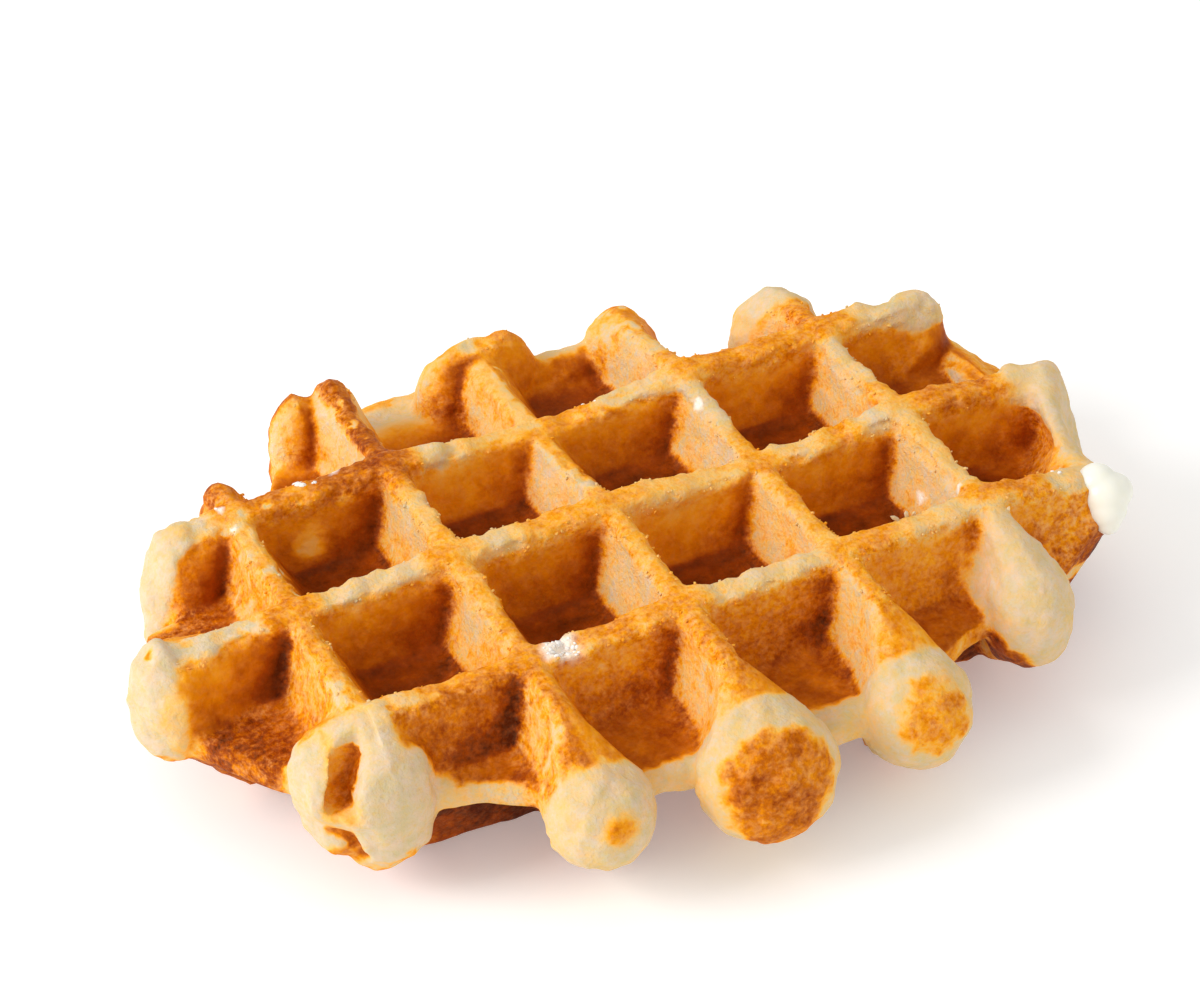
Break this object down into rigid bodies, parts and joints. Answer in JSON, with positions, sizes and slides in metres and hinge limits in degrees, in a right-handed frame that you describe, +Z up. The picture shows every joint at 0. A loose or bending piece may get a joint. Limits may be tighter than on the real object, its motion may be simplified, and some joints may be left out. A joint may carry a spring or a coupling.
{
  "type": "liege waffle",
  "caption": "Thick oval sugar waffle of yeast dough with deep square pockets on both faces and uneven rounded rib ends at its rim.",
  "frame": {"origin": "centre of the waffle's footprint box, at the level of the lower rib crests that it rests on", "axes": "+X along the waffle's length, +Y across it towards the straight-backed side, +Z up through its thickness"},
  "size_m": [0.125, 0.0932, 0.026],
  "materials": {
    "crust": "golden brown baked crust with a thin caramel glaze, paler on the rib crests and at the rim"
  },
  "bodies": {
    "root": {"waffle": "crust"}
  },
  "joints": []
}
